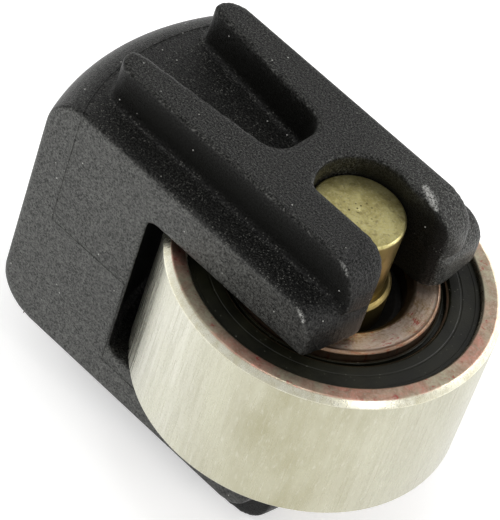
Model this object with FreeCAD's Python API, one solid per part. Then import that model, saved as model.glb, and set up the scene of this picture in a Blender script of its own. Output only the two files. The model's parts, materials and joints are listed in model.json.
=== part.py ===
import math
import os

import FreeCAD
import Part

V = FreeCAD.Vector

# Driving dimensions, in mm. The roller's centre is the working origin: X points out of the fork's
# open end, Y across it, Z along the roller's axis. Every piece is moved to the row frame on export.

# Fork
FORK_HALF_WIDTH = 12.5       # side faces
PLATE_TOP = 15.2             # outer face of each cheek's plate
CHEEK_INNER = 9.8            # inner face of each cheek
RIB_TOP = 20.0               # top of the raised pad
PAD_HALF_WIDTH = 8.6         # outer walls of the two ribs
BACK_APEX = -32.8            # rearmost point of the bowed back
BACK_ARC_R = 30.5
PAD_BACK_ARC_R = 25.6        # rear ends of the ribs, bowed about the same centre
FRONT_ARC_R = 73.0
FRONT_CENTRE_X = -64.8       # the front's bow leans a little to the far side
FRONT_CENTRE_Y = 3.5
BACK_EDGE_R = 4.4            # rounding from plate to back
FRONT_EDGE_R = 3.0           # rounding from plate to front
NOSE_R = 4.2                 # rounding from rib top to front
PAD_BACK_CORNER_R = 2.4      # upright outer corners at the ribs' rear ends
PAD_FRONT_CORNER_R = 0.6     # the same at their front ends, nearly sharp
RIB_TIP_R = 1.0              # upright inner corners at the ribs' rear ends
POCKET_R = 19.4              # curved wall behind the roller
POCKET_EDGE_R = 1.0

# Rear groove in each pad, open to the back and narrowing towards the front
GROOVE_FRONT = -8.7
GROOVE_HALF_FRONT = 3.55
GROOVE_HALF_BACK = 6.25      # at BACK_APEX
GROOVE_CORNER_R = 2.2

# Keyhole slot in each cheek, open to the front
KEYHOLE_R = 5.1
SLOT_FLAT_Y = -3.7           # flat wall that stops the pin turning
SLOT_WALL_Y = 4.75           # opposite wall, slightly inside the round hole
MOUTH_FLAT_R = 2.1
MOUTH_WALL_R = 2.2

# Pin
PIN_END_R = 4.97
PIN_HALF_LENGTH = 17.5
PIN_CHAMFER = 0.2
PIN_MIDDLE_R = 5.8
PIN_SHOULDER = 9.1
SHOULDER_CHAMFER = 0.45
PIN_FLAT_Y = -3.66

# Bush in the bearing's bore
BUSH_OUTER_R = 7.49
BUSH_INNER_R = 5.81
BUSH_HALF_LENGTH = 6.3
BUSH_COUNTERSINK = 1.0

# Bearing
RING_HALF_WIDTH = 8.83
TREAD_R = 17.5
TREAD_CHAMFER = 0.7
OUTER_LAND_R = 14.4
SEAL_SEAT_R = 15.15
SEAL_SEAT_Z = 6.9
INNER_RING_R = 10.92
BORE_R = 7.5
BORE_CHAMFER = 0.85
RING_EDGE = 0.25
BALL_R = 2.381
PITCH_R = 12.66
ROW_Z = 3.4
TRACK_R = 2.45
BALLS_PER_ROW = 10

# Cages
CAGE_INNER_R = 11.7
CAGE_OUTER_R = 13.7
CAGE_LOW_Z = 2.3
CAGE_HIGH_Z = 6.25
CAGE_POCKET_R = 2.46

# Seals
SEAL_OUTER_R = 15.14
SEAL_BACK_Z = 6.92
SEAL_FACE_Z = 8.14           # broad flat band
SEAL_BEAD_R = 14.7           # inner edge of the slightly raised outer rim
SEAL_BEAD_HEIGHT = 0.05
SHOULDER_R = 11.65           # inner edge of the band
SHOULDER_EDGE = 0.35
SEAL_GROOVE_Z = 7.35         # bottom of the narrow groove inside the shoulder
LIP_INNER_R = 10.98
LIP_OUTER_R = 11.35
LIP_TOP_Z = 7.75
LIP_EDGE = 0.12
LIP_ROOT_R = 11.6
LIP_UNDER_Z = 7.3
CORE_INNER_R = 12.1
CORE_OUTER_R = 14.7
CORE_LOW_Z = 7.25
CORE_HIGH_Z = 7.55

# Modelling aids
OVERSHOOT = 1.0              # how far a cutter stands past what it cuts
CUTTER_SPAN = 40.0           # length of the blocks that cut the slots and flats
END_ARC_SPAN = 5.0           # an end arc is wider than this across the fork
TIGHT = 1e-6                 # tolerance for recognising edges

ROW_SHIFT = V((-BACK_APEX - TREAD_R) / 2.0, 0, RIB_TOP)


def mirrored(shape):
    """Copy of a shape on the other side of the roller's middle plane."""
    return shape.mirror(V(0, 0, 0), V(0, 0, 1))


def revolved(points):
    """Solid of revolution about Z from (radius, z) points."""
    loop = [V(r, 0, z) for r, z in points]
    face = Part.Face(Part.makePolygon(loop + [loop[0]]))
    return face.revolve(V(0, 0, 0), V(0, 0, 1), 360)


def back_x(radius, y):
    """X at y of a back bowed to the given radius."""
    return BACK_APEX + BACK_ARC_R - math.sqrt(radius * radius - y * y)


def front_x(y, inset=0.0):
    """X at y of the bowed front, or of a curve that runs a little inside it."""
    reach = FRONT_ARC_R - inset
    return FRONT_CENTRE_X + math.sqrt(reach * reach - (y - FRONT_CENTRE_Y) ** 2)


def bowed_block(half_width, back_r, low, high):
    """Upright block with flat sides, a bowed back and the fork's bowed front."""
    back = [V(back_x(back_r, y), y, low) for y in (-half_width, 0, half_width)]
    front = [V(front_x(y), y, low) for y in (half_width, 0, -half_width)]
    wire = Part.Wire([
        Part.Arc(*back).toShape(),
        Part.makeLine(back[-1], front[0]),
        Part.Arc(*front).toShape(),
        Part.makeLine(front[-1], back[0]),
    ])
    return Part.Face(wire).extrude(V(0, 0, high - low))


def level_arcs(shape, heights, at_front):
    """Curved edges of a block at the given heights, at its front or at its back."""
    found = []
    for edge in shape.Edges:
        box = edge.BoundBox
        is_end_arc = box.ZLength < TIGHT and box.YLength > END_ARC_SPAN
        if is_end_arc and edge.Curve.TypeId == "Part::GeomCircle":
            if (box.XMin > 0) == at_front and any(abs(box.ZMin - z) < TIGHT for z in heights):
                found.append(edge)
    return found


def upright_edges(shape, x_low, x_high, reach_y=PAD_HALF_WIDTH + OVERSHOOT):
    """Vertical straight edges whose x lies in a range and that are near the middle line."""
    found = []
    for edge in shape.Edges:
        box = edge.BoundBox
        if box.XLength < TIGHT and box.YLength < TIGHT and x_low < box.XMin < x_high:
            if abs(box.YMin) < reach_y:
                found.append(edge)
    return found


def front_corner(wall_y, inward, radius):
    """Cutter that rounds the upright corner of a wall and the front, tangent to both.

    inward is +1 or -1: the side of the wall on which the material lies.
    """
    y = wall_y + inward * radius
    x = front_x(y, radius)
    tangent_y = FRONT_CENTRE_Y + (y - FRONT_CENTRE_Y) * FRONT_ARC_R / (FRONT_ARC_R - radius)
    low_y = min(wall_y, tangent_y)
    height = RIB_TOP + OVERSHOOT
    corner = Part.makeBox(radius + OVERSHOOT, abs(tangent_y - wall_y), height, V(x, low_y, 0))
    return corner.cut(Part.makeCylinder(radius, height, V(x, y, 0)))


def pad():
    """Raised pad of the upper cheek with its rear groove."""
    block = bowed_block(PAD_HALF_WIDTH, PAD_BACK_ARC_R, CHEEK_INNER, RIB_TOP)
    block = block.makeFillet(PAD_BACK_CORNER_R, upright_edges(block, BACK_APEX, 0))
    block = block.makeFillet(NOSE_R, level_arcs(block, [RIB_TOP], True))
    for side in (-1, 1):
        block = block.cut(front_corner(side * PAD_HALF_WIDTH, -side, PAD_FRONT_CORNER_R))
    block = block.cut(groove_tool())
    return block.makeFillet(RIB_TIP_R, upright_edges(block, BACK_APEX, -TREAD_R, GROOVE_HALF_BACK))


def groove_tool():
    """Cutter for the tapered groove between the ribs."""
    depth = RIB_TOP - PLATE_TOP + OVERSHOOT
    corners = [
        V(BACK_APEX, -GROOVE_HALF_BACK, PLATE_TOP),
        V(GROOVE_FRONT, -GROOVE_HALF_FRONT, PLATE_TOP),
        V(GROOVE_FRONT, GROOVE_HALF_FRONT, PLATE_TOP),
        V(BACK_APEX, GROOVE_HALF_BACK, PLATE_TOP),
    ]
    tool = Part.Face(Part.makePolygon(corners + [corners[0]])).extrude(V(0, 0, depth))
    front_edges = upright_edges(tool, GROOVE_FRONT - OVERSHOOT, GROOVE_FRONT + OVERSHOOT)
    return tool.makeFillet(GROOVE_CORNER_R, front_edges)


def beyond_flat(flat_y, base, height):
    """Cutter for all that lies on the -Y side of a flat, from a base upwards."""
    depth = CUTTER_SPAN / 2
    return Part.makeBox(CUTTER_SPAN, depth, height, V(-depth, flat_y - depth, base))


def keyhole_tool():
    """Cutter for the keyhole slot, from the pocket up through the pad."""
    height = RIB_TOP - CHEEK_INNER + 2 * OVERSHOOT
    base = CHEEK_INNER - OVERSHOOT
    hole = Part.makeCylinder(KEYHOLE_R, height, V(0, 0, base))
    channel = Part.makeBox(CUTTER_SPAN, SLOT_WALL_Y - SLOT_FLAT_Y, height, V(0, SLOT_FLAT_Y, base))
    return hole.cut(beyond_flat(SLOT_FLAT_Y, base, height)).fuse(channel)


def fork_body():
    """The moulded fork."""
    ends = [-PLATE_TOP, PLATE_TOP]
    block = bowed_block(FORK_HALF_WIDTH, BACK_ARC_R, *ends)
    block = block.makeFillet(BACK_EDGE_R, level_arcs(block, ends, False))
    block = block.makeFillet(FRONT_EDGE_R, level_arcs(block, ends, True))
    body = block.fuse([pad(), mirrored(pad())])
    pocket = Part.makeCylinder(POCKET_R, 2 * CHEEK_INNER, V(0, 0, -CHEEK_INNER))
    rims = [edge for edge in pocket.Edges if edge.BoundBox.ZLength < TIGHT]
    pocket = pocket.makeFillet(POCKET_EDGE_R, rims)
    slot = [
        keyhole_tool(),
        front_corner(SLOT_FLAT_Y, -1, MOUTH_FLAT_R),
        front_corner(SLOT_WALL_Y, 1, MOUTH_WALL_R),
    ]
    body = body.cut([pocket] + slot + [mirrored(tool) for tool in slot])
    return body.removeSplitter()


def roller_pin():
    """Stepped pin with a flat on each end."""
    upper = [
        (PIN_MIDDLE_R, PIN_SHOULDER - SHOULDER_CHAMFER),
        (PIN_MIDDLE_R - SHOULDER_CHAMFER, PIN_SHOULDER),
        (PIN_END_R, PIN_SHOULDER),
        (PIN_END_R, PIN_HALF_LENGTH - PIN_CHAMFER),
        (PIN_END_R - PIN_CHAMFER, PIN_HALF_LENGTH),
        (0, PIN_HALF_LENGTH),
    ]
    lower = [(r, -z) for r, z in reversed(upper)]
    pin = revolved(lower + upper)
    for base in (PIN_SHOULDER, -PIN_HALF_LENGTH):
        pin = pin.cut(beyond_flat(PIN_FLAT_Y, base, PIN_HALF_LENGTH - PIN_SHOULDER))
    return pin


def bore_bush():
    """Polymer bush between pin and inner ring, countersunk at both ends."""
    upper = [
        (BUSH_OUTER_R, BUSH_HALF_LENGTH),
        (BUSH_INNER_R + BUSH_COUNTERSINK, BUSH_HALF_LENGTH),
        (BUSH_INNER_R, BUSH_HALF_LENGTH - BUSH_COUNTERSINK),
    ]
    lower = [(r, -z) for r, z in reversed(upper)]
    return revolved(upper + lower)


def ball_track():
    """Ring-shaped cutters for the two ball tracks."""
    upper = Part.makeTorus(PITCH_R, TRACK_R, V(0, 0, ROW_Z))
    lower = Part.makeTorus(PITCH_R, TRACK_R, V(0, 0, -ROW_Z))
    return [upper, lower]


def inner_ring():
    """Bearing inner ring."""
    upper = [
        (BORE_R, RING_HALF_WIDTH - BORE_CHAMFER),
        (BORE_R + BORE_CHAMFER, RING_HALF_WIDTH),
        (INNER_RING_R - RING_EDGE, RING_HALF_WIDTH),
        (INNER_RING_R, RING_HALF_WIDTH - RING_EDGE),
    ]
    lower = [(r, -z) for r, z in reversed(upper)]
    return revolved(upper + lower).cut(ball_track())


def outer_ring():
    """Bearing outer ring: tread outside, ball tracks and seal seats inside."""
    upper = [
        (OUTER_LAND_R, SEAL_SEAT_Z),
        (SEAL_SEAT_R, SEAL_SEAT_Z),
        (SEAL_SEAT_R, RING_HALF_WIDTH - RING_EDGE),
        (SEAL_SEAT_R + RING_EDGE, RING_HALF_WIDTH),
        (TREAD_R - TREAD_CHAMFER, RING_HALF_WIDTH),
        (TREAD_R, RING_HALF_WIDTH - TREAD_CHAMFER),
    ]
    lower = [(r, -z) for r, z in reversed(upper)]
    return revolved(upper + lower).cut(ball_track())


def seal_core():
    """Steel washer inside the upper seal."""
    return revolved([
        (CORE_INNER_R, CORE_LOW_Z),
        (CORE_OUTER_R, CORE_LOW_Z),
        (CORE_OUTER_R, CORE_HIGH_Z),
        (CORE_INNER_R, CORE_HIGH_Z),
    ])


def seal():
    """Upper rubber seal: flat outer band, bevelled shoulder, narrow groove and thin lip."""
    body = revolved([
        (LIP_INNER_R, LIP_TOP_Z - LIP_EDGE),
        (LIP_INNER_R + LIP_EDGE, LIP_TOP_Z),
        (LIP_OUTER_R, LIP_TOP_Z),
        (LIP_OUTER_R, SEAL_GROOVE_Z),
        (SHOULDER_R, SEAL_GROOVE_Z),
        (SHOULDER_R, SEAL_FACE_Z - SHOULDER_EDGE),
        (SHOULDER_R + SHOULDER_EDGE, SEAL_FACE_Z),
        (SEAL_BEAD_R, SEAL_FACE_Z),
        (SEAL_BEAD_R + SEAL_BEAD_HEIGHT, SEAL_FACE_Z + SEAL_BEAD_HEIGHT),
        (SEAL_OUTER_R, SEAL_FACE_Z + SEAL_BEAD_HEIGHT),
        (SEAL_OUTER_R, SEAL_BACK_Z),
        (LIP_ROOT_R, SEAL_BACK_Z),
        (LIP_INNER_R, LIP_UNDER_Z),
    ])
    return body.cut(seal_core())


def ball_centre(index):
    """Centre of one ball of the upper row."""
    angle = 2 * math.pi * index / BALLS_PER_ROW
    return V(PITCH_R * math.cos(angle), PITCH_R * math.sin(angle), ROW_Z)


def cage():
    """Crown cage of the upper row, its pockets open towards the middle plane."""
    ring = revolved([
        (CAGE_INNER_R, CAGE_LOW_Z),
        (CAGE_OUTER_R, CAGE_LOW_Z),
        (CAGE_OUTER_R, CAGE_HIGH_Z),
        (CAGE_INNER_R, CAGE_HIGH_Z),
    ])
    pockets = [Part.makeSphere(CAGE_POCKET_R, ball_centre(i)) for i in range(BALLS_PER_ROW)]
    return ring.cut(pockets)


nodes = {
    "fork_body": fork_body(),
    "roller_pin": roller_pin(),
    "bore_bush": bore_bush(),
    "inner_ring": inner_ring(),
    "outer_ring": outer_ring(),
    "seal_upper": seal(),
    "seal_lower": mirrored(seal()),
    "seal_core_upper": seal_core(),
    "seal_core_lower": mirrored(seal_core()),
    "cage_upper": cage(),
    "cage_lower": mirrored(cage()),
}
for i in range(BALLS_PER_ROW):
    ball = Part.makeSphere(BALL_R, ball_centre(i))
    nodes["ball_upper_%02d" % (i + 1)] = ball
    nodes["ball_lower_%02d" % (i + 1)] = mirrored(ball)

os.makedirs("parts", exist_ok=True)
for name, shape in nodes.items():
    shape = shape.copy()
    shape.translate(ROW_SHIFT)
    if len(shape.Solids) != 1 or not shape.isValid():
        raise RuntimeError("%s is not one valid solid" % name)
    shape.Solids[0].exportStep("parts/%s.step" % name)
    box = shape.BoundBox
    print("%-16s %8.1f mm3  x %.2f %.2f  y %.2f %.2f  z %.2f %.2f" % (
        name, shape.Volume, box.XMin, box.XMax, box.YMin, box.YMax, box.ZMin, box.ZMax))
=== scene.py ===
"""Looks of a cam follower: a sealed roller on a pin in a moulded plastic fork."""
import json
import math

import bpy
from mathutils import Matrix, Vector

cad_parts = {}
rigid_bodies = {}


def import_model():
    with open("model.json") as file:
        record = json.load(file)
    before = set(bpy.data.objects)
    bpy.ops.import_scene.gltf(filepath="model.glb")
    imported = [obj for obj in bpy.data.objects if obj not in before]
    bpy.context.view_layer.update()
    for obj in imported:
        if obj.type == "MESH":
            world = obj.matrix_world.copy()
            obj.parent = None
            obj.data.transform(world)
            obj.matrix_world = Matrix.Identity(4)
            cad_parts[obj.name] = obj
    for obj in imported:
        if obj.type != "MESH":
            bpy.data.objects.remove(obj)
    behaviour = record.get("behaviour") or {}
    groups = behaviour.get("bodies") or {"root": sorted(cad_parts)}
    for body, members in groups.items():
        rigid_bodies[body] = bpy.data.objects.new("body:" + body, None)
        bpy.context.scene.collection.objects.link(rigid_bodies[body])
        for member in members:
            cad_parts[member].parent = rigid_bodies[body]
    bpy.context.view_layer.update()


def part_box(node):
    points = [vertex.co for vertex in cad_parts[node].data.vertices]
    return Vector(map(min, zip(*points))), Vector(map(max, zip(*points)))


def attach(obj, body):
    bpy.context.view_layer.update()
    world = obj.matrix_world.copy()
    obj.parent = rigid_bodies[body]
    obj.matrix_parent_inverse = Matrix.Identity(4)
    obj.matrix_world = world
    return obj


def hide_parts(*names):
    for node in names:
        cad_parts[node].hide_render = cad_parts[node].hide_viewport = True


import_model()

MM = 0.001                                       # one millimetre in the frame's unit

# ---------------------------------------------------------------- places read from the frame

tread_low, tread_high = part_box("outer_ring")
fork_low, fork_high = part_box("fork_body")
pin_low, pin_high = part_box("roller_pin")
inner_low, inner_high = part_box("inner_ring")
bush_low, bush_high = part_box("bore_bush")
seal_low, seal_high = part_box("seal_upper")

AXIS = (tread_low + tread_high) / 2              # the roller's centre
TREAD_R = (tread_high.y - tread_low.y) / 2
RING_HALF = (tread_high.z - tread_low.z) / 2
INNER_R = (inner_high.y - inner_low.y) / 2
BUSH_R = (bush_high.y - bush_low.y) / 2
BUSH_HALF = (bush_high.z - bush_low.z) / 2
PIN_MIDDLE_R = (pin_high.y - pin_low.y) / 2
PIN_HALF = (pin_high.z - pin_low.z) / 2
SEAL_R = (seal_high.y - seal_low.y) / 2
FORK_HALF_WIDTH = (fork_high.y - fork_low.y) / 2
RIB_TOP = (fork_high.z - fork_low.z) / 2         # above the roller's middle plane
BACK_APEX = fork_low.x - AXIS.x


# ---------------------------------------------------------------- modelling helpers

# Sizes are in mm from here on, and places are measured from the roller's centre.

FAR_X, FAR_Z = 80.0, 60.0                        # past every end of the object
SPARE = 1.0                                      # how far a cutter stands past what it cuts
SLIVER = 0.005                                   # keeps two cuts from sharing a plane
MERGE_REACH = 0.002                              # points closer than this are one
PROFILE_STEPS = 4                                # in a rounded corner of a turned piece
TURN_STEPS = 192                                 # round a turned piece


def deselect():
    """Nothing selected, nothing active."""
    for thing in bpy.context.selected_objects:
        thing.select_set(False)
    bpy.context.view_layer.objects.active = None


def only(piece):
    """piece is selected and active, alone."""
    deselect()
    piece.select_set(True)
    bpy.context.view_layer.objects.active = piece


def named_primitive(name):
    """The primitive just added, under its name."""
    piece = bpy.context.object
    piece.name = name
    piece.data.name = name
    return piece


def settle(piece):
    """Puts a piece's place into its mesh, its object at the origin."""
    only(piece)
    bpy.ops.object.transform_apply(location=True, rotation=True, scale=True)


def pick(piece, verts=None, edges=None, faces=None):
    """Opens piece in edit mode with only the elements selected that pass the given test.

    A test takes a point, an edge's two ends, or a face's centre and normal.
    """
    only(piece)
    bpy.ops.object.mode_set(mode="EDIT")
    mode = "VERT" if verts else "EDGE" if edges else "FACE"
    bpy.ops.mesh.select_mode(type=mode)
    bpy.ops.mesh.select_all(action="DESELECT")
    bpy.ops.object.mode_set(mode="OBJECT")
    mesh = piece.data
    if verts:
        for v in mesh.vertices:
            v.select = bool(verts(v.co))
    if edges:
        for e in mesh.edges:
            a, b = (mesh.vertices[i].co for i in e.vertices)
            e.select = bool(edges(a, b))
    if faces:
        for f in mesh.polygons:
            f.select = bool(faces(f.center, f.normal))
    bpy.ops.object.mode_set(mode="EDIT")


def done():
    """Back to object mode."""
    bpy.ops.object.mode_set(mode="OBJECT")


def block(name, low, high):
    """A box between two corners."""
    low, high = Vector(low) * MM + AXIS, Vector(high) * MM + AXIS
    deselect()
    bpy.ops.mesh.primitive_cube_add(size=1, location=(low + high) / 2, scale=high - low)
    piece = named_primitive(name)
    settle(piece)
    return piece


def drum(name, radius, x, y, low, high, sides):
    """An upright cylinder."""
    deselect()
    centre = Vector((x, y, (low + high) / 2)) * MM + AXIS
    bpy.ops.mesh.primitive_cylinder_add(
        vertices=sides, radius=radius * MM, depth=(high - low) * MM, location=centre)
    piece = named_primitive(name)
    settle(piece)
    return piece


def combine(piece, tool, operation):
    """Applies a boolean of piece with tool, and removes the tool."""
    only(piece)
    step = piece.modifiers.new("combine", "BOOLEAN")
    step.operation = operation
    step.solver = "EXACT"
    step.object = tool
    bpy.ops.object.modifier_apply(modifier=step.name)
    bpy.data.objects.remove(tool)


def keep_between(piece, low_y, high_y):
    """Keeps the part of piece between two upright planes across the fork."""
    slab = block("slab", (-FAR_X, low_y, -FAR_Z), (FAR_X, high_y, FAR_Z))
    combine(piece, slab, "INTERSECT")


def chain(name, points):
    """A chain of edges through points."""
    deselect()
    spots = [Vector(p) * MM + AXIS for p in points]
    bpy.ops.mesh.primitive_plane_add(size=MM, location=spots[0])
    piece = named_primitive(name)
    settle(piece)
    pick(piece, verts=lambda co: True)
    bpy.ops.mesh.merge(type="CENTER")
    for start, end in zip(spots, spots[1:]):
        bpy.ops.mesh.extrude_region_move(TRANSFORM_OT_translate={"value": end - start})
    done()
    return piece


def turned(name, points, rounding=(), closed=True):
    """A piece of revolution: a chain through (radius, height) points, spun about the axis.

    rounding lists (index of a corner, radius).
    """
    path = [(r, 0, z) for r, z in (points + points[:1] if closed else points)]
    piece = chain(name, path)
    if closed:
        pick(piece, verts=lambda co: True)
        bpy.ops.mesh.remove_doubles(threshold=MERGE_REACH / 2 * MM)
        done()
    for index, radius in rounding:
        spot = Vector(path[index]) * MM + AXIS
        pick(piece, verts=lambda co: (co - spot).length < MERGE_REACH * MM)
        bpy.ops.mesh.bevel(
            offset=radius * MM, offset_type="OFFSET", segments=PROFILE_STEPS, affect="VERTICES")
        done()
    pick(piece, verts=lambda co: True)
    bpy.ops.mesh.spin(steps=TURN_STEPS, angle=2 * math.pi, center=AXIS, axis=(0, 0, 1))
    bpy.ops.mesh.select_all(action="SELECT")
    bpy.ops.mesh.remove_doubles(threshold=MERGE_REACH * MM)
    bpy.ops.mesh.normals_make_consistent(inside=False)
    done()
    return piece


def smooth(piece, angle=32):
    """Smooth shading across everything but sharp edges."""
    only(piece)
    bpy.ops.object.shade_smooth_by_angle(angle=math.radians(angle))


# ---------------------------------------------------------------- fork

PLATE_TOP = 15.2                                 # the plates' height, without the raised pad
CHEEK_INNER = 9.8                                # the same of a cheek's inner face
PAD_HALF = 8.6                                   # half the width over both ribs
BACK_R = 30.5                                    # the bowed back
BACK_CENTRE = BACK_APEX / MM + BACK_R
PAD_BACK_R = 25.6                                # the ribs' rear end, about the same centre
FRONT_R = 73.0
FRONT_X = -64.8                                  # centre of the bowed front,
FRONT_Y = 3.5                                    # which leans to the far side
BACK_ROUND = 4.4                                 # rims of the plates
FRONT_ROUND = 3.0
NOSE_ROUND = 4.2                                 # front rim of the raised pad
RIB_BACK_ROUND = 2.4                             # upright corners of the ribs
RIB_FRONT_ROUND = 0.6
RIB_TIP_ROUND = 1.0
FLAT_WALL = -3.7                                 # the keyhole slot: one wall lies on the pin's flat
ROUND_WALL = 4.75
KEYHOLE_R = 5.1
FLAT_MOUTH_ROUND = 2.1
ROUND_MOUTH_ROUND = 2.2
GROOVE_FRONT = -8.7                              # the rear groove, which widens to the back
GROOVE_HALF_FRONT = 3.55
GROOVE_HALF_BACK = 6.25
GROOVE_ROUND = 2.2
POCKET_R = 19.4                                  # the hollow round the roller
POCKET_ROUND = 1.0
WALL = FORK_HALF_WIDTH / MM
TOP = RIB_TOP / MM
CHANNEL_END = 30.0                               # past the fork's open end
BACK_SIDES = 512                                 # facets of the large drums, if whole
FRONT_SIDES = 960
POCKET_SIDES = 256
KEYHOLE_SIDES = 64
RIM_STEPS = 8
GROOVE_STEPS = 6
SOFT_GRAIN = 0.285                               # mesh size of the moulded skin
SOFT_PASSES = 6


def rounded_drum(name, radius, x, y, low, high, sides, round_low=0, round_high=0):
    """An upright cylinder with rounded rims."""
    piece = drum(name, radius, x, y, low, high, sides)
    for height, rounding in ((low, round_low), (high, round_high)):
        if rounding:
            level = AXIS.z + height * MM
            pick(piece, edges=lambda a, b: max(abs(a.z - level), abs(b.z - level)) < SLIVER * MM)
            bpy.ops.mesh.bevel(
                offset=rounding * MM, offset_type="OFFSET", segments=RIM_STEPS, affect="EDGES")
            done()
    return piece


def corner_cutter(centre, radius, low_corner, high_corner):
    """What is outside an upright rounding: a block less a cylinder."""
    cutter = block("corner_cutter", low_corner, high_corner)
    low, high = low_corner[2] - SPARE, high_corner[2] + SPARE
    core = drum("core", radius, *centre, low, high, sides=round(radius * 10) + 16)
    combine(cutter, core, "DIFFERENCE")
    return cutter


def front_corner(wall, inward, radius, low, high):
    """Cutter for the upright rounding between a wall along the fork and the bowed front.

    inward is +1 or -1: the side of the wall on which the material lies.
    """
    y = wall + inward * radius
    reach = FRONT_R - radius
    x = FRONT_X + math.sqrt(reach ** 2 - (y - FRONT_Y) ** 2)
    touch = FRONT_Y + (y - FRONT_Y) * FRONT_R / reach
    ends = sorted((wall - inward * SPARE, touch))
    return corner_cutter((x, y), radius, (x, ends[0], low), (x + 8 * SPARE, ends[1], high))


def back_corner(wall, inward, radius, low, high):
    """The same between a wall along the fork and the ribs' bowed rear end."""
    y = wall + inward * radius
    reach = PAD_BACK_R - radius
    x = BACK_CENTRE - math.sqrt(reach ** 2 - y ** 2)
    ends = sorted((wall - inward * SPARE, y * PAD_BACK_R / reach))
    return corner_cutter((x, y), radius, (x - 4 * SPARE, ends[0], low), (x, ends[1], high))


def make_pad():
    """The raised pad of the upper cheek, with its rear groove."""
    foot = PLATE_TOP - SPARE
    ends = (foot - SPARE, TOP + SPARE)
    front_ends = (foot - 5 * SPARE, TOP)
    pad = drum("pad", PAD_BACK_R, BACK_CENTRE, 0, foot, TOP, BACK_SIDES)
    front = rounded_drum(
        "front", FRONT_R, FRONT_X, FRONT_Y, *front_ends, FRONT_SIDES, round_high=NOSE_ROUND)
    combine(pad, front, "INTERSECT")
    keep_between(pad, -PAD_HALF, PAD_HALF)
    for side in (1, -1):
        outer = side * PAD_HALF
        combine(pad, back_corner(outer, -side, RIB_BACK_ROUND, *ends), "DIFFERENCE")
        combine(pad, front_corner(outer, -side, RIB_FRONT_ROUND, *ends), "DIFFERENCE")
    combine(pad, make_groove(), "DIFFERENCE")
    slope = (GROOVE_HALF_BACK - GROOVE_HALF_FRONT) / (GROOVE_FRONT - BACK_APEX / MM)
    inner = GROOVE_HALF_FRONT + slope * (GROOVE_FRONT - BACK_CENTRE + PAD_BACK_R - RIB_TIP_ROUND)
    for side in (1, -1):
        tip = back_corner(side * inner, side, RIB_TIP_ROUND, PLATE_TOP + SLIVER, TOP + SPARE)
        combine(pad, tip, "DIFFERENCE")
    return pad


def make_groove():
    """Cutter for the upper rear groove."""
    low, high = PLATE_TOP + SLIVER, TOP + SPARE
    groove = block("groove", (BACK_APEX / MM, -1, low), (GROOVE_FRONT, 1, high))
    for behind, half in ((True, GROOVE_HALF_BACK), (False, GROOVE_HALF_FRONT)):
        pick(groove, verts=lambda co: (co.x < AXIS.x - POCKET_R * MM) == behind)
        bpy.ops.transform.resize(value=(1, half, 1), center_override=AXIS)
        done()
    pick(groove, edges=lambda a, b: abs(a.z - b.z) > MM and a.x > AXIS.x - POCKET_R * MM)
    bpy.ops.mesh.bevel(
        offset=GROOVE_ROUND * MM, offset_type="OFFSET", segments=GROOVE_STEPS, affect="EDGES")
    done()
    return groove


def make_keyhole():
    """Cutter for the keyhole slot of the upper cheek."""
    low, high = CHEEK_INNER - SPARE, TOP + SPARE
    keyhole = drum("keyhole", KEYHOLE_R, 0, 0, low, high, KEYHOLE_SIDES)
    keep_between(keyhole, FLAT_WALL, TOP)
    channel = block("channel", (0, FLAT_WALL + SLIVER, low), (CHANNEL_END, ROUND_WALL, high))
    combine(keyhole, channel, "UNION")
    combine(keyhole, front_corner(FLAT_WALL, -1, FLAT_MOUTH_ROUND, low, high), "UNION")
    combine(keyhole, front_corner(ROUND_WALL, 1, ROUND_MOUTH_ROUND, low, high), "UNION")
    return keyhole


def flipped(piece, name):
    """A copy of piece mirrored to the other side of the roller's middle plane."""
    twin = piece.copy()
    twin.data = piece.data.copy()
    twin.name = name
    bpy.context.collection.objects.link(twin)
    pick(twin, verts=lambda co: True)
    bpy.ops.transform.mirror(constraint_axis=(False, False, True), center_override=AXIS)
    bpy.ops.mesh.select_all(action="SELECT")
    bpy.ops.mesh.normals_make_consistent(inside=False)
    done()
    return twin


def soften(piece, grain, passes):
    """Moulded softness: an even fine mesh whose edges are rubbed round."""
    only(piece)
    even = piece.modifiers.new("even", "REMESH")
    even.mode = "VOXEL"
    even.voxel_size = grain * MM
    even.adaptivity = 0
    rub = piece.modifiers.new("rub", "SMOOTH")
    rub.factor = 0.5
    rub.iterations = passes
    for step in (even, rub):
        bpy.ops.object.modifier_apply(modifier=step.name)
    bpy.ops.object.shade_smooth()


def make_fork():
    """The moulded fork."""
    ends = (-PLATE_TOP, PLATE_TOP)
    fork = rounded_drum(
        "fork_moulding", BACK_R, BACK_CENTRE, 0, *ends, BACK_SIDES, BACK_ROUND, BACK_ROUND)
    front = rounded_drum(
        "front", FRONT_R, FRONT_X, FRONT_Y, *ends, FRONT_SIDES, FRONT_ROUND, FRONT_ROUND)
    combine(fork, front, "INTERSECT")
    keep_between(fork, -WALL, WALL)
    pad = make_pad()
    lower_pad = flipped(pad, "lower_pad")
    combine(fork, pad, "UNION")
    combine(fork, lower_pad, "UNION")
    pocket_ends = (-CHEEK_INNER, CHEEK_INNER)
    pocket = rounded_drum(
        "pocket", POCKET_R, 0, 0, *pocket_ends, POCKET_SIDES, POCKET_ROUND, POCKET_ROUND)
    combine(fork, pocket, "DIFFERENCE")
    keyhole = make_keyhole()
    lower_keyhole = flipped(keyhole, "lower_keyhole")
    combine(fork, keyhole, "DIFFERENCE")
    combine(fork, lower_keyhole, "DIFFERENCE")
    soften(fork, SOFT_GRAIN, SOFT_PASSES)
    return fork


fork = make_fork()
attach(fork, "fork_set")
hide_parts("fork_body")


# ---------------------------------------------------------------- mould lines

LINE_R = 0.055                                   # a line is half-sunk and stands out by this
LINE_SINK = 0.09                                 # the plates' edges are rubbed lower than PLATE_TOP
INSERT_ARC_R = 26.9
ARC_STEPS = 48


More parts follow.
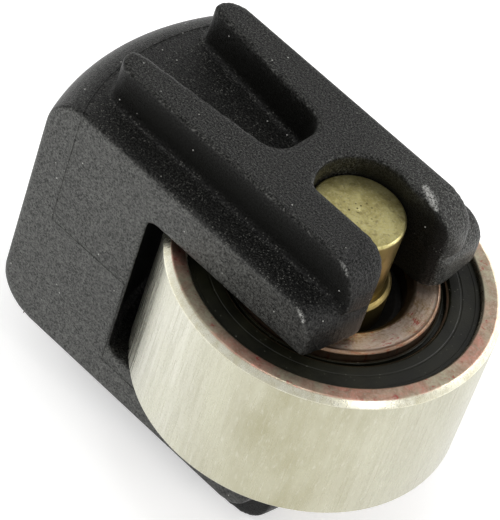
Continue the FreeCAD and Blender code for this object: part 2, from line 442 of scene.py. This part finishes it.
def fine_line(name, points):
    """A hair-thin raised line through points."""
    line = chain(name, points)
    only(line)
    bpy.ops.object.convert(target="CURVE")
    line.data.bevel_depth = LINE_R * MM
    line.data.bevel_resolution = 1
    line.data.use_fill_caps = True
    bpy.ops.object.convert(target="MESH")
    bpy.ops.object.shade_smooth()
    return line


def make_mould_lines():
    """Where the mould's inserts met: stepped lines on both sides, an arc on both plates."""
    lines = []
    for side in (-1, 1):
        y = side * WALL
        stepped = [(-26.1, 14.6), (-26.1, -0.2), (-15.3, -0.2), (-15.2, -11.7), (-8.4, -11.7)]
        lines.append(fine_line("side_line", [(x, y, z) for x, z in stepped]))
        z = side * (PLATE_TOP - LINE_SINK)
        reach = math.asin(0.99 * WALL / INSERT_ARC_R)
        turns = [reach * (2 * i / ARC_STEPS - 1) for i in range(ARC_STEPS + 1)]
        arc = [(BACK_CENTRE - INSERT_ARC_R * math.cos(t), INSERT_ARC_R * math.sin(t), z)
               for t in turns]
        lines.append(fine_line("plate_line", arc))
    only(lines[0])
    for line in lines[1:]:
        line.select_set(True)
    bpy.ops.object.join()
    lines[0].name = "mould_lines"
    return lines[0]


mould_lines = make_mould_lines()
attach(mould_lines, "fork_set")


# ---------------------------------------------------------------- turned pieces

BALL_PITCH_R = 12.66
BALL_ROW_Z = 3.4                                 # above the middle plane
TRACK_R = 2.45                                   # a little more than a ball's radius
TRACK_STEPS = 8
BORE_PLAY = 0.01                                 # how much a bore clears what fills it


def both_ends(upper):
    """A profile made of its upper half and the mirror of that."""
    return upper + [(r, -z) for r, z in reversed(upper)]


def both_roundings(upper, corners):
    """The roundings of an upper half, and the same on its mirror."""
    last = 2 * len(upper) - 1
    return corners + [(last - i, radius) for i, radius in corners]


def track(land_r, side):
    """Points of one ball track, from the end nearer the middle plane to the far one.

    side is +1 for the track in the outer ring and -1 for that in the inner ring.
    """
    reach = math.acos(side * (land_r - BALL_PITCH_R) / TRACK_R)
    angles = [reach * (2 * i / TRACK_STEPS - 1) for i in range(TRACK_STEPS + 1)]
    return [(BALL_PITCH_R + side * TRACK_R * math.cos(a), BALL_ROW_Z + TRACK_R * math.sin(a))
            for a in angles]


def make_outer_ring():
    """Roller: ground tread, chamfers, seal seats and ball tracks."""
    land, seat, seat_z, edge, chamfer = 14.4, 15.15, 6.9, 0.25, 0.7
    tread, end = TREAD_R / MM, RING_HALF / MM
    rim = [(land, seat_z), (seat, seat_z), (seat, end - edge), (seat + edge, end),
           (tread - chamfer, end), (tread, end - chamfer)]
    upper = track(land, 1) + rim
    count = len(upper)
    corners = [(count - 1, 0.12), (count - 2, 0.12), (count - 3, 0.08), (count - 4, 0.08)]
    return turned("roller_ring", both_ends(upper), both_roundings(upper, corners))


def make_inner_ring():
    """Inner ring: chamfered bore, narrow faces and ball tracks."""
    land, bore, bore_chamfer, edge = INNER_R / MM, BUSH_R / MM + BORE_PLAY, 0.85, 0.25
    end = RING_HALF / MM
    face = [(land, end - edge), (land - edge, end), (bore + bore_chamfer, end),
            (bore, end - bore_chamfer)]
    upper = track(land, -1) + face
    count = len(upper)
    corners = [(count - 1, 0.15), (count - 2, 0.12), (count - 3, 0.08), (count - 4, 0.08)]
    return turned("bearing_inner_ring", both_ends(upper), both_roundings(upper, corners))


def make_bush():
    """Bush between pin and inner ring, countersunk at both ends."""
    outer, inner, countersink, end = BUSH_R / MM, PIN_MIDDLE_R / MM + BORE_PLAY, 1.0, BUSH_HALF / MM
    upper = [(outer, end), (inner + countersink, end), (inner, end - countersink)]
    corners = both_roundings(upper, [(0, 0.1), (1, 0.14)])
    return turned("bush_sleeve", both_ends(upper), corners)


def make_pin():
    """Stepped pin with a flat and a shallow turning centre on each end."""
    end_r, chamfer, shoulder, shoulder_chamfer, flat = 4.97, 0.2, 9.1, 0.45, -3.66
    centre_r, centre_depth, past = 0.30, 0.12, 8.0
    end, middle = PIN_HALF / MM, PIN_MIDDLE_R / MM
    upper = [(0, end - centre_depth), (centre_r, end), (end_r - chamfer, end),
             (end_r, end - chamfer), (end_r, shoulder), (middle - shoulder_chamfer, shoulder),
             (middle, shoulder - shoulder_chamfer)]
    corners = both_roundings(upper, [(1, 0.08), (2, 0.07), (3, 0.07), (5, 0.06), (6, 0.1)])
    pin = turned("stepped_pin", both_ends(upper), corners, closed=False)
    for low, high in ((shoulder, end + SPARE), (-end - SPARE, -shoulder)):
        cutter = block("flat_cutter", (-past, -past, low), (past, flat, high))
        combine(pin, cutter, "DIFFERENCE")
    return pin


def make_seal(name):
    """Upper rubber seal: thin lip, narrow groove, rounded shoulder, broad band and raised rim."""
    outer, band_top, rim_top, underside = SEAL_R / MM, 8.14, 8.19, 6.92
    lip = [(10.98, 7.3), (10.98, 7.63), (11.1, 7.75), (11.35, 7.75)]
    groove = [(11.35, 7.35), (11.65, 7.35)]
    shoulder = [(11.65, 7.79), (12.0, band_top)]
    fine_line_in_band = [(13.1, band_top), (13.16, 8.1), (13.3, 8.1), (13.36, band_top)]
    rim = [(14.6, band_top), (14.66, rim_top), (outer, rim_top), (outer, underside)]
    points = lip + groove + shoulder + fine_line_in_band + rim + [(11.6, underside)]
    corners = [(2, 0.05), (3, 0.05), (6, 0.12), (7, 0.16), (13, 0.03), (14, 0.06)]
    return turned(name, points, corners)


turned_pieces = [
    (make_outer_ring(), "roller", "outer_ring", "ground_steel"),
    (make_inner_ring(), "fork_set", "inner_ring", "inner_ring_steel"),
    (make_bush(), "fork_set", "bore_bush", "bush_plastic"),
    (make_pin(), "fork_set", "roller_pin", "passivated_steel"),
]
upper_seal = make_seal("seal_ring_upper")
lower_seal = flipped(upper_seal, "seal_ring_lower")
turned_pieces += [
    (upper_seal, "roller", "seal_upper", "seal_rubber"),
    (lower_seal, "roller", "seal_lower", "seal_rubber"),
]
for piece, body, node, finish in turned_pieces:
    smooth(piece)
    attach(piece, body)
    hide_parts(node)


# ---------------------------------------------------------------- finishes

def add(tree, kind, settings=None, **inputs):
    """A node with its settings and inputs; an input is a value or another node's socket.

    An input is named as Blender names it, or i0, i1 and so on by its number.
    """
    made = tree.nodes.new("ShaderNode" + kind)
    for name, value in (settings or {}).items():
        setattr(made, name, value)
    for name, value in inputs.items():
        numbered = name[0] == "i" and name[1:].isdigit()
        socket = made.inputs[int(name[1:]) if numbered else name]
        if isinstance(value, bpy.types.NodeSocket):
            tree.links.new(value, socket)
        else:
            socket.default_value = value
    return made


def new_finish(name, metallic, ior=1.5):
    """An empty finish: material, tree, shader, and places in mm from the roller's centre."""
    finish = bpy.data.materials.new(name)
    finish.use_nodes = True
    tree = finish.node_tree
    shader = tree.nodes["Principled BSDF"]
    shader.inputs["Metallic"].default_value = metallic
    shader.inputs["IOR"].default_value = ior
    own = add(tree, "TexCoord")
    places = add(tree, "Mapping", Vector=own.outputs["Object"],
                 Location=-AXIS / MM, Scale=(1 / MM,) * 3)
    return finish, tree, shader, places.outputs["Vector"]


def noise(tree, places, scale, detail=3, roughness=0.55, distortion=0):
    """Cloudy pattern about 0.5."""
    made = add(tree, "TexNoise", Vector=places, Scale=scale, Detail=detail, Roughness=roughness,
               Distortion=distortion)
    return made.outputs["Fac"]


def band(tree, value, low, high, start=0.0, end=1.0):
    """start where value is at low, end where it is at high, even between and flat beyond."""
    made = add(tree, "MapRange", i0=value, i1=low, i2=high, i3=start, i4=end)
    return made.outputs["Result"]


def calc(tree, operation, a, b=0.0):
    """One step of arithmetic."""
    return add(tree, "Math", {"operation": operation}, i0=a, i1=b).outputs["Value"]


def times(tree, a, b):
    """a times b."""
    return calc(tree, "MULTIPLY", a, b)


def unsigned(tree, value):
    """value without its sign."""
    return calc(tree, "ABSOLUTE", value)


def blend(tree, share, a, b):
    """Colour a, giving way to colour b where share is 1."""
    made = add(tree, "Mix", {"data_type": "RGBA"}, i0=share, i6=a, i7=b)
    return made.outputs[2]


def stretched(tree, places, factors):
    """Places scaled along each axis, so that a pattern on them runs in streaks."""
    made = add(tree, "VectorMath", {"operation": "MULTIPLY"}, i0=places, i1=factors)
    return made.outputs["Vector"]


def along(tree, places):
    """The three coordinates, and the distance from the roller's axis."""
    split = add(tree, "SeparateXYZ", Vector=places)
    x, y, z = (split.outputs[i] for i in range(3))
    square = calc(tree, "ADD", times(tree, x, x), times(tree, y, y))
    return x, y, z, calc(tree, "SQRT", square)


def specks(tree, places, per_mm, share, size):
    """Scattered round dots: 1 inside a dot, 0 outside."""
    cells = add(tree, "TexVoronoi", Vector=places, Scale=per_mm)
    dot = band(tree, cells.outputs["Distance"], size * 0.6, size, 1.0, 0.0)
    chance = add(tree, "SeparateColor", Color=cells.outputs["Color"]).outputs["Red"]
    return times(tree, dot, calc(tree, "LESS_THAN", chance, share))


def relief(tree, shader, *layers):
    """Fine relief from (height, depth in mm) layers."""
    normal = None
    for height, depth in layers:
        bump = add(tree, "Bump", Height=height, Distance=depth * MM, Strength=1.0)
        if normal:
            tree.links.new(normal, bump.inputs["Normal"])
        normal = bump.outputs["Normal"]
    tree.links.new(normal, shader.inputs["Normal"])


def link(tree, value, shader, socket):
    """Feeds one of the shader's sockets."""
    tree.links.new(value, shader.inputs[socket])


PAINTED_HIGHLIGHT_SPOTS = (                                 # painted highlight streaks along rubbed edges: a place and how far it reaches
    ((2.9, 5.9, 20.0), 0.50),
    ((3.5, 5.65, 20.0), 0.60),
    ((4.1, 5.4, 20.0), 0.65),
    ((4.7, 5.15, 19.9), 0.55),
    ((5.3, 4.95, 19.8), 0.40),
    ((4.7, -8.5, 19.85), 0.35),
    ((5.1, -8.5, 19.65), 0.45),
    ((5.5, -8.5, 19.4), 0.40),
    ((5.8, -8.5, 19.0), 0.30),
    ((4.4, -12.45, 14.85), 0.30),
    ((4.8, -12.45, 14.55), 0.35),
    ((5.2, -12.45, 14.15), 0.30),
)


def black_moulding():
    """Fork: filled black plastic, fine grained, greyer on its outer sides, dusty in its recesses;
    painted shade in the recesses, on side-facing walls and at the near cheek's front, painted light
    towards the far front and painted highlights on its edges.
    """
    finish, tree, shader, places = new_finish("black_moulding", 0.0, 1.43)
    # painted shade: near black laid where the fork is shaded
    painted_shade_black = (0.0010, 0.0010, 0.0009, 1)
    x, y, z, _ = along(tree, places)
    facing = add(tree, "SeparateXYZ", Vector=add(tree, "TexCoord").outputs["Normal"])
    grain = noise(tree, places, 5.0, 4, 0.75)
    cloud = noise(tree, places, 0.35, 4, 0.6)
    skin = band(tree, grain, 0.49, 0.70)
    colour = blend(tree, skin, (0.0010, 0.0010, 0.0008, 1), (0.075, 0.076, 0.068, 1))
    # painted light: the fork grows lighter towards its far front
    painted_light_gradient = band(tree, calc(tree, "ADD", x, times(tree, y, 1.2)), 0.0, 20.0, 0.0, 1.0)
    lit_tone = blend(tree, skin, (0.018, 0.018, 0.016, 1), (0.190, 0.192, 0.178, 1))
    colour = blend(tree, painted_light_gradient, colour, lit_tone)
    # lighter grey on the outer side faces, in patches
    outer_side = band(tree, unsigned(tree, y), WALL - 0.25, WALL - 0.08)
    outer_side_patches = times(tree, outer_side, band(tree, cloud, 0.25, 0.75, 0.75, 1.0))
    side_grain = band(tree, grain, 0.38, 0.66)
    side_tone = blend(tree, side_grain, (0.014, 0.014, 0.0135, 1), (0.110, 0.112, 0.103, 1))
    colour = blend(tree, outer_side_patches, colour, side_tone)
    # painted shade: the near half of the fork darkens towards its front
    cheek = times(tree, band(tree, x, -7.0, 6.5, 0.0, 0.55), band(tree, y, -4.0, 0.0, 1.0, 0.0))
    colour = blend(tree, cheek, colour, painted_shade_black)
    # painted shade: walls facing the sides are darkened, less so near the rib tops
    wall = band(tree, unsigned(tree, facing.outputs["Y"]), 0.58, 0.76)
    wall = times(tree, wall, calc(tree, "SUBTRACT", 1.0, outer_side))
    wall = times(tree, wall, band(tree, unsigned(tree, z), 18.3, 20.0, 1.0, 0.55))
    colour = blend(tree, wall, colour, (0.0042, 0.0042, 0.0036, 1))
    # convex edges lighter in speckles: partly rubbed wear, partly a painted highlight
    edge = add(tree, "NewGeometry").outputs["Pointiness"]
    sparkle = band(tree, noise(tree, places, 2.6, 3, 0.7), 0.54, 0.66)
    rubbed = times(tree, band(tree, edge, 0.515, 0.56), sparkle)
    colour = blend(tree, times(tree, rubbed, 0.6), colour, (0.20, 0.202, 0.19, 1))
    # painted highlight: light grey streaks on the ribs' noses and the near plate's front corner
    for spot, reach in PAINTED_HIGHLIGHT_SPOTS:
        away = add(tree, "VectorMath", {"operation": "DISTANCE"}, i0=places, i1=spot)
        near = band(tree, away.outputs["Value"], 0.3 * reach, reach, 1.0, 0.0)
        painted_highlight = times(tree, near, band(tree, grain, 0.40, 0.55))
        colour = blend(tree, painted_highlight, colour, (0.42, 0.42, 0.40, 1))
    # painted shade: floors at the plates' level darkened beside and between the ribs; the same band
    # places the dust
    depth = unsigned(tree, calc(tree, "SUBTRACT", unsigned(tree, z), PLATE_TOP))
    recess = band(tree, depth, 0.25, 0.6, 1.0, 0.0)
    colour = blend(tree, times(tree, recess, 0.6), colour, painted_shade_black)
    coarse, fine = specks(tree, places, 3.0, 0.16, 0.32), specks(tree, places, 5.5, 0.26, 0.40)
    settled = times(tree, recess, band(tree, cloud, 0.35, 0.6, 0.25, 1.0))
    dust = times(tree, calc(tree, "MAXIMUM", coarse, fine), settled)
    crumbs = specks(tree, places, 1.6, 0.05, 0.16)
    colour = blend(tree, times(tree, dust, 0.50), colour, (0.22, 0.22, 0.20, 1))
    colour = blend(tree, times(tree, crumbs, 0.8), colour, (0.50, 0.50, 0.47, 1))
    link(tree, colour, shader, "Base Color")
    gloss = band(tree, grain, 0.3, 0.7, 0.28, 0.48)
    gloss = calc(tree, "SUBTRACT", gloss, times(tree, rubbed, 0.08))
    link(tree, gloss, shader, "Roughness")
    shine = band(tree, grain, 0.37, 0.64, 0.12, 0.64)
    shine = times(tree, shine, calc(tree, "SUBTRACT", 1.0, times(tree, wall, 0.45)))
    link(tree, shine, shader, "Specular IOR Level")
    hairs = noise(tree, stretched(tree, places, (0.10, 8.0, 8.0)), 1.2, 1)
    flow = noise(tree, stretched(tree, places, (0.25, 3.2, 0.25)), 1.0, 2)
    front = band(tree, facing.outputs["X"], 0.35, 0.75)
    flow = times(tree, flow, front)
    relief(tree, shader, (grain, 0.085), (band(tree, hairs, 0.66, 0.72), 0.004), (flow, 0.10))
    return finish


def stained(tree, places, plain, stain, start, end, scale):
    """Plain metal colour that goes over into a stain in loose patches."""
    patches = noise(tree, places, scale, 5, 0.65, 0.6)
    return blend(tree, band(tree, patches, start, end), plain, stain)


def ground_steel():
    """Roller: ground tread with axial streaks, and end faces with a reddish stain."""
    finish, tree, shader, places = new_finish("ground_steel", 1.0)
    x, _, z, r = along(tree, places)
    streaks = noise(tree, stretched(tree, places, (1.0, 1.0, 0.05)), 1.9, 5, 0.75)
    patches = noise(tree, stretched(tree, places, (1.0, 1.0, 0.45)), 0.22, 4, 0.6)
    dark_streak, light_streak = (0.56, 0.55, 0.455, 1), (0.76, 0.75, 0.655, 1)
    tread = blend(tree, band(tree, streaks, 0.34, 0.66), dark_streak, light_streak)
    tread = blend(tree, band(tree, patches, 0.42, 0.66, 0.0, 0.6), tread, (0.66, 0.655, 0.53, 1))
    # painted reflection: the tread's front half darker and warmer, as the shaded floor mirrored in
    # it
    painted_shaded_reflection = times(tree, band(tree, x, -4.0, 7.0), band(tree, x, 12.0, 17.0, 1.0, 0.45))
    painted_shaded_reflection = times(tree, painted_shaded_reflection, band(tree, patches, 0.35, 0.65, 0.95, 0.6))
    tread = blend(tree, painted_shaded_reflection, tread, (0.38, 0.36, 0.24, 1))
    flecks = noise(tree, places, 4.5, 3, 0.7)
    tread = blend(tree, band(tree, flecks, 0.54, 0.72, 0.0, 0.6), tread, (0.44, 0.43, 0.33, 1))
    scuffs = noise(tree, stretched(tree, places, (1.0, 1.0, 0.25)), 3.0, 3, 0.7)
    tread = blend(tree, band(tree, scuffs, 0.56, 0.72, 0.0, 0.18), tread, (0.86, 0.855, 0.79, 1))
    face = stained(tree, places, (0.64, 0.60, 0.44, 1), (0.76, 0.40, 0.31, 1), 0.44, 0.58, 0.13)
    smear = noise(tree, places, 0.8, 5, 0.7, 0.5)
    face = blend(tree, band(tree, smear, 0.42, 0.62, 0.0, 0.8), face, (0.46, 0.31, 0.22, 1))
    face = blend(tree, band(tree, flecks, 0.48, 0.70, 0.0, 0.5), face, (0.80, 0.70, 0.60, 1))
    rust = noise(tree, places, 0.9, 6, 0.8)
    face = blend(tree, band(tree, rust, 0.58, 0.64, 0.0, 0.85), face, (0.56, 0.09, 0.09, 1))
    level = unsigned(tree, z)
    end = band(tree, level, 8.70, 8.80)
    chamfer = blend(tree, band(tree, smear, 0.4, 0.65), (1.0, 0.98, 0.82, 1), (0.84, 0.80, 0.60, 1))
    colour = blend(tree, band(tree, level, 8.12, 8.16), tread, chamfer)
    colour = blend(tree, end, colour, face)
    inside = band(tree, r, 15.3, 15.5, 1.0, 0.0)
    colour = blend(tree, inside, colour, (0.30, 0.27, 0.20, 1))
    link(tree, colour, shader, "Base Color")
    gloss = band(tree, streaks, 0.3, 0.7, 0.20, 0.36)
    link(tree, calc(tree, "ADD", gloss, times(tree, end, 0.12)), shader, "Roughness")
    hairs = noise(tree, stretched(tree, places, (1.0, 1.0, 0.03)), 9.0, 2)
    relief(tree, shader, (hairs, 0.005), (flecks, 0.008))
    return finish


def stained_steel():
    """Inner ring: tan ground face with streaks round it, rusty speckles and a dark outer edge."""
    finish, tree, shader, places = new_finish("stained_steel", 1.0)
    x, y, _, r = along(tree, places)
    bearing = calc(tree, "ARCTAN2", y, x)
    around = add(tree, "CombineXYZ", X=times(tree, r, 3.0), Y=times(tree, bearing, 4.0))
    lap = noise(tree, around.outputs["Vector"], 1.3, 5, 0.7, 0.3)
    colour = stained(tree, places, (1.0, 0.80, 0.66, 1), (0.78, 0.54, 0.30, 1), 0.40, 0.60, 0.28)
    colour = blend(tree, band(tree, lap, 0.46, 0.64, 0.0, 0.7), colour, (0.56, 0.37, 0.20, 1))
    flecks = noise(tree, places, 3.5, 4, 0.7)
    colour = blend(tree, band(tree, flecks, 0.44, 0.64, 0.0, 0.8), colour, (1.0, 0.84, 0.74, 1))
    rust = noise(tree, around.outputs["Vector"], 2.2, 6, 0.8)
    flush = band(tree, noise(tree, places, 0.35, 3, 0.5), 0.4, 0.7, -0.06, 0.06)
    rust = calc(tree, "ADD", rust, flush)
    colour = blend(tree, band(tree, rust, 0.55, 0.61, 0.0, 0.9), colour, (0.66, 0.07, 0.06, 1))
    rim = band(tree, r, 10.30, 10.55, 0.0, 0.85)
    colour = blend(tree, rim, colour, (0.16, 0.085, 0.045, 1))
    bore = band(tree, r, 8.05, 8.45, 0.92, 0.0)
    colour = blend(tree, bore, colour, (0.11, 0.075, 0.045, 1))
    link(tree, colour, shader, "Base Color")
    link(tree, band(tree, flecks, 0.3, 0.7, 0.30, 0.46), shader, "Roughness")
    relief(tree, shader, (flecks, 0.016), (lap, 0.012))
    return finish


def yellow_passivated():
    """Pin: turned steel with a mottled yellow passivation, pitted near its centre."""
    finish, tree, shader, places = new_finish("yellow_passivated", 1.0)
    _, _, z, r = along(tree, places)
    colour = stained(tree, places, (0.86, 0.78, 0.36, 1), (0.58, 0.50, 0.19, 1), 0.38, 0.62, 0.55)
    mottle = noise(tree, places, 4.0, 5, 0.75)
    colour = blend(tree, band(tree, mottle, 0.50, 0.70, 0.0, 0.7), colour, (0.93, 0.88, 0.60, 1))
    brown = noise(tree, places, 1.2, 5, 0.7, 0.5)
    colour = blend(tree, band(tree, brown, 0.53, 0.70, 0.0, 0.75), colour, (0.36, 0.28, 0.12, 1))
    side = band(tree, unsigned(tree, z), 17.0, 17.4, 1.0, 0.0)
    colour = blend(tree, times(tree, side, 0.88), colour, (0.27, 0.195, 0.065, 1))
    pits = times(tree, specks(tree, places, 2.2, 0.55, 0.34), band(tree, r, 1.0, 2.0, 1.0, 0.12))
    colour = blend(tree, times(tree, pits, 0.9), colour, (0.08, 0.055, 0.025, 1))
    link(tree, colour, shader, "Base Color")
    link(tree, band(tree, mottle, 0.3, 0.7, 0.30, 0.46), shader, "Roughness")
    wobble = times(tree, noise(tree, places, 0.8, 2), 0.35)
    across = add(tree, "CombineXYZ", X=calc(tree, "ADD", r, wobble)).outputs["Vector"]
    rings = noise(tree, across, 5.0, 3)
    upright = add(tree, "CombineXYZ", X=z).outputs["Vector"]
    turning = noise(tree, upright, 9.0, 2)
    relief(tree, shader, (rings, 0.020), (turning, 0.006), (mottle, 0.010))
    return finish


def dark_rubber():
    """Seals: black rubber, a little olive, with dust caught on it."""
    finish, tree, shader, places = new_finish("dark_rubber", 0.0, 1.42)
    *_, r = along(tree, places)
    cloud = noise(tree, places, 0.30, 4, 0.6)
    grain = noise(tree, places, 5.0, 3, 0.6)
    dark, light = (0.0035, 0.0037, 0.0020, 1), (0.0130, 0.0130, 0.0070, 1)
    colour = blend(tree, band(tree, cloud, 0.35, 0.65), dark, light)
    fine = specks(tree, places, 4.0, 0.05, 0.28)
    crumbs = specks(tree, places, 0.9, 0.06, 0.085)
    colour = blend(tree, times(tree, fine, 0.35), colour, (0.25, 0.25, 0.20, 1))
    colour = blend(tree, crumbs, colour, (0.75, 0.75, 0.70, 1))
    link(tree, colour, shader, "Base Color")
    gloss = band(tree, grain, 0.3, 0.7, 0.34, 0.50)
    gloss = times(tree, gloss, band(tree, r, 11.95, 12.20, 0.20, 1.0))
    link(tree, gloss, shader, "Roughness")
    relief(tree, shader, (grain, 0.012), (cloud, 0.05))
    return finish


def bush_plastic():
    """Bush: plain black bearing plastic with a dull rim."""
    finish, tree, shader, places = new_finish("bush_plastic", 0.0)
    grain = noise(tree, places, 4.0, 4, 0.65)
    dark, light = (0.008, 0.008, 0.008, 1), (0.024, 0.024, 0.023, 1)
    colour = blend(tree, band(tree, grain, 0.35, 0.7), dark, light)
    link(tree, colour, shader, "Base Color")
    link(tree, band(tree, grain, 0.3, 0.7, 0.34, 0.5), shader, "Roughness")
    relief(tree, shader, (grain, 0.012))
    return finish


def cage_plastic():
    """Cages: unfilled tan plastic."""
    finish, tree, shader, places = new_finish("cage_plastic", 0.0)
    cloud = noise(tree, places, 0.6, 4, 0.6)
    grain = noise(tree, places, 4.5, 3, 0.6)
    dark, light = (0.40, 0.34, 0.20, 1), (0.50, 0.44, 0.29, 1)
    colour = blend(tree, band(tree, cloud, 0.35, 0.65), dark, light)
    link(tree, colour, shader, "Base Color")
    link(tree, band(tree, grain, 0.3, 0.7, 0.38, 0.55), shader, "Roughness")
    relief(tree, shader, (grain, 0.015))
    return finish


def hidden_steel(name, tone, dull, depth):
    """Balls and seal cores: clean steel with a little uneven tone.

    dull is the least roughness, depth the relief's in mm.
    """
    finish, tree, shader, places = new_finish(name, 1.0)
    cloud = noise(tree, places, 0.9, 4, 0.6)
    light = tuple(min(1.0, 1.12 * c) for c in tone) + (1,)
    colour = blend(tree, band(tree, cloud, 0.35, 0.65), tone + (1,), light)
    link(tree, colour, shader, "Base Color")
    link(tree, band(tree, cloud, 0.3, 0.7, dull, dull + 0.1), shader, "Roughness")
    relief(tree, shader, (noise(tree, places, 11.0, 2), depth))
    return finish


def dress(piece, finish):
    """Gives a piece one finish all over."""
    piece.data.materials.clear()
    piece.data.materials.append(finish)


plastic, steel, rubber = black_moulding(), ground_steel(), dark_rubber()
dress(fork, plastic)
dress(mould_lines, plastic)
finishes = (steel, stained_steel(), bush_plastic(), yellow_passivated(), rubber, rubber)
for (piece, *_), finish in zip(turned_pieces, finishes):
    dress(piece, finish)

hidden_finishes = (
    ("cage_", cage_plastic()),
    ("ball_", hidden_steel("polished_balls", (0.70, 0.70, 0.71), dull=0.08, depth=0.0004)),
    ("seal_core_", hidden_steel("core_sheet", (0.52, 0.52, 0.52), dull=0.35, depth=0.003)),
)
for thing in bpy.data.objects:
    for start, finish in hidden_finishes:
        if thing.name.startswith(start):
            for place in thing.material_slots:
                place.material = finish


# ---------------------------------------------------------------- stage

FLOOR_SIZE = 2.0
FLOOR_GLOW = 0.35
TENT_WALLS = 0.95                                # brightness of the light tent near the horizon
TENT_ROOF = 0.48                                 # the same overhead

deselect()
bpy.ops.mesh.primitive_plane_add(size=FLOOR_SIZE, location=(0, 0, 0))
floor = named_primitive("floor")
pale = bpy.data.materials.new("pale_floor")
pale.use_nodes = True
pale_shader = pale.node_tree.nodes["Principled BSDF"]
pale_shader.inputs["Base Color"].default_value = (0.9, 0.9, 0.9, 1)
pale_shader.inputs["Roughness"].default_value = 0.9
pale_shader.inputs["Emission Color"].default_value = (1, 1, 1, 1)
pale_shader.inputs["Emission Strength"].default_value = FLOOR_GLOW
dress(floor, pale)

world = bpy.data.worlds.new("light_tent")
bpy.context.scene.world = world
world.use_nodes = True
sky = world.node_tree
tent = sky.nodes["Background"]
height = add(sky, "SeparateXYZ", Vector=add(sky, "TexCoord").outputs["Generated"]).outputs["Z"]
tent.inputs["Color"].default_value = (1.0, 0.995, 0.98, 1)
link(sky, band(sky, height, 0.15, 0.60, TENT_WALLS, TENT_ROOF), tent, "Strength")


def softbox(name, power, wide, high, place, mirrored):
    """A soft light that points at the roller; power in watts, sizes and place in metres.

    If it isn't mirrored, polished surfaces don't show it.
    """
    lamp = bpy.data.lights.new(name, "AREA")
    lamp.shape = "RECTANGLE"
    lamp.energy = power
    lamp.size = wide
    lamp.size_y = high
    holder = bpy.data.objects.new(name, lamp)
    bpy.context.collection.objects.link(holder)
    holder.visible_glossy = mirrored
    place = Vector(place)
    turn = (place - AXIS).to_track_quat("Z", "Y").to_matrix().to_4x4()
    holder.matrix_world = Matrix.Translation(place) @ turn


softbox("left_front", 1.5, 0.30, 0.30, (-0.46, -0.22, 0.26), False)
softbox("right_front", 0.6, 0.30, 0.30, (0.45, -0.30, 0.36), False)
softbox("right_back", 0.35, 0.12, 0.12, (0.30, 0.32, 0.28), True)
softbox("overhead", 0.22, 0.10, 0.10, (0.008, -0.01, 0.55), True)
softbox("right", 0.20, 0.10, 0.10, (0.42, -0.08, 0.366), True)
softbox("back_strip", 0.8, 0.50, 0.05, (0.05, 0.575, 0.186), True)
bpy.context.scene.view_settings.view_transform = "Standard"


# ---------------------------------------------------------------- camera

VIEW_AZIMUTH = math.radians(29.659)              # from the near side towards the open end
VIEW_ELEVATION = math.radians(45.385)
VIEW_ROLL = math.radians(19.776)
VIEW_DISTANCE = 20.7 * TREAD_R
AIM_RIGHT = -6.487 * MM                          # where it aims, from the roller's centre
AIM_UP = 6.771 * MM
LENS = 247.36                                    # mm, with the sensor's width
SENSOR_WIDTH = 36.0

toward = Vector((math.sin(VIEW_AZIMUTH) * math.cos(VIEW_ELEVATION),
                 -math.cos(VIEW_AZIMUTH) * math.cos(VIEW_ELEVATION),
                 math.sin(VIEW_ELEVATION)))
level_right = (-toward).cross(Vector((0, 0, 1))).normalized()
level_up = level_right.cross(-toward)
right = math.cos(VIEW_ROLL) * level_right + math.sin(VIEW_ROLL) * level_up
up = math.cos(VIEW_ROLL) * level_up - math.sin(VIEW_ROLL) * level_right
camera = bpy.data.objects.new("camera", bpy.data.cameras.new("camera"))
bpy.context.collection.objects.link(camera)
camera.data.lens = LENS
camera.data.sensor_width = SENSOR_WIDTH
camera.data.clip_start = 0.01
camera.data.clip_end = 10
spot = AXIS + AIM_RIGHT * right + AIM_UP * up + VIEW_DISTANCE * toward
turn = Matrix((right, up, toward)).transposed().to_4x4()
camera.matrix_world = Matrix.Translation(spot) @ turn
bpy.context.scene.camera = camera
